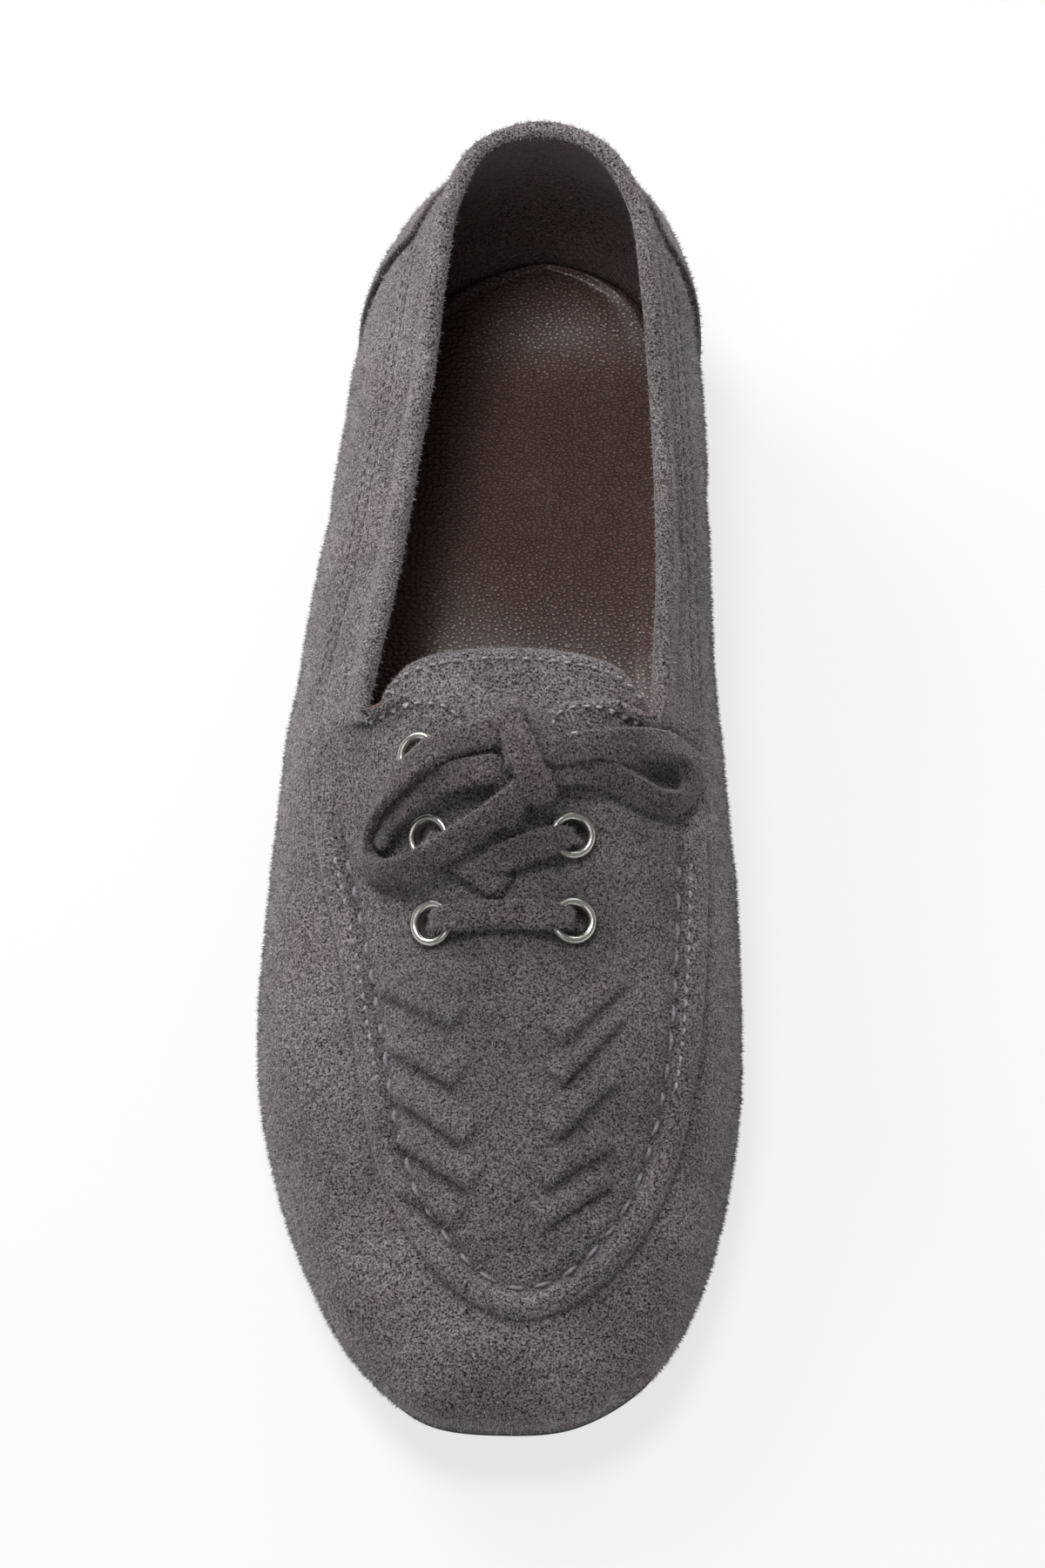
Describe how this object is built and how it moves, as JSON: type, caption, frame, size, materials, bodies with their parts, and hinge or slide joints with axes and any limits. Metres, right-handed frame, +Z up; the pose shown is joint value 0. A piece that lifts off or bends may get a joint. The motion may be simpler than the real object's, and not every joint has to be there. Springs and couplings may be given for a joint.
{
  "type": "lace-up loafer",
  "caption": "Right lace-up moccasin loafer in grey suede, with an apron toe, throat tabs over a tongue, metal eyelets, a tied bow and a thin rubber sole with a low heel.",
  "frame": {"origin": "on the floor, under the middle of the shoe's length and width", "axes": "+Z up from the floor, +Y from the toe to the heel, +X towards the inner side of the foot"},
  "size_m": [0.095, 0.2652, 0.0725],
  "materials": {
    "suede": "napped suede",
    "lace_suede": "napped suede",
    "insole_leather": "pebbled, satin",
    "rubber": "matt",
    "eyelet_metal": "satin"
  },
  "bodies": {
    "root": {"outsole": "rubber", "heel": "rubber", "upper": "suede", "heel_counter": "suede", "tongue": "suede", "insole": "insole_leather", "eyelet_bottom_outer": "eyelet_metal", "eyelet_bottom_inner": "eyelet_metal", "eyelet_middle_outer": "eyelet_metal", "eyelet_middle_inner": "eyelet_metal", "eyelet_top_outer": "eyelet_metal", "eyelet_top_inner": "eyelet_metal", "lace_bar_bottom": "lace_suede", "lace_crossing": "lace_suede", "lace_bar_top": "lace_suede", "bow_knot": "lace_suede", "bow_loop_outer": "lace_suede", "bow_loop_inner": "lace_suede", "bow_end_outer": "lace_suede", "bow_end_front": "lace_suede"}
  },
  "joints": []
}
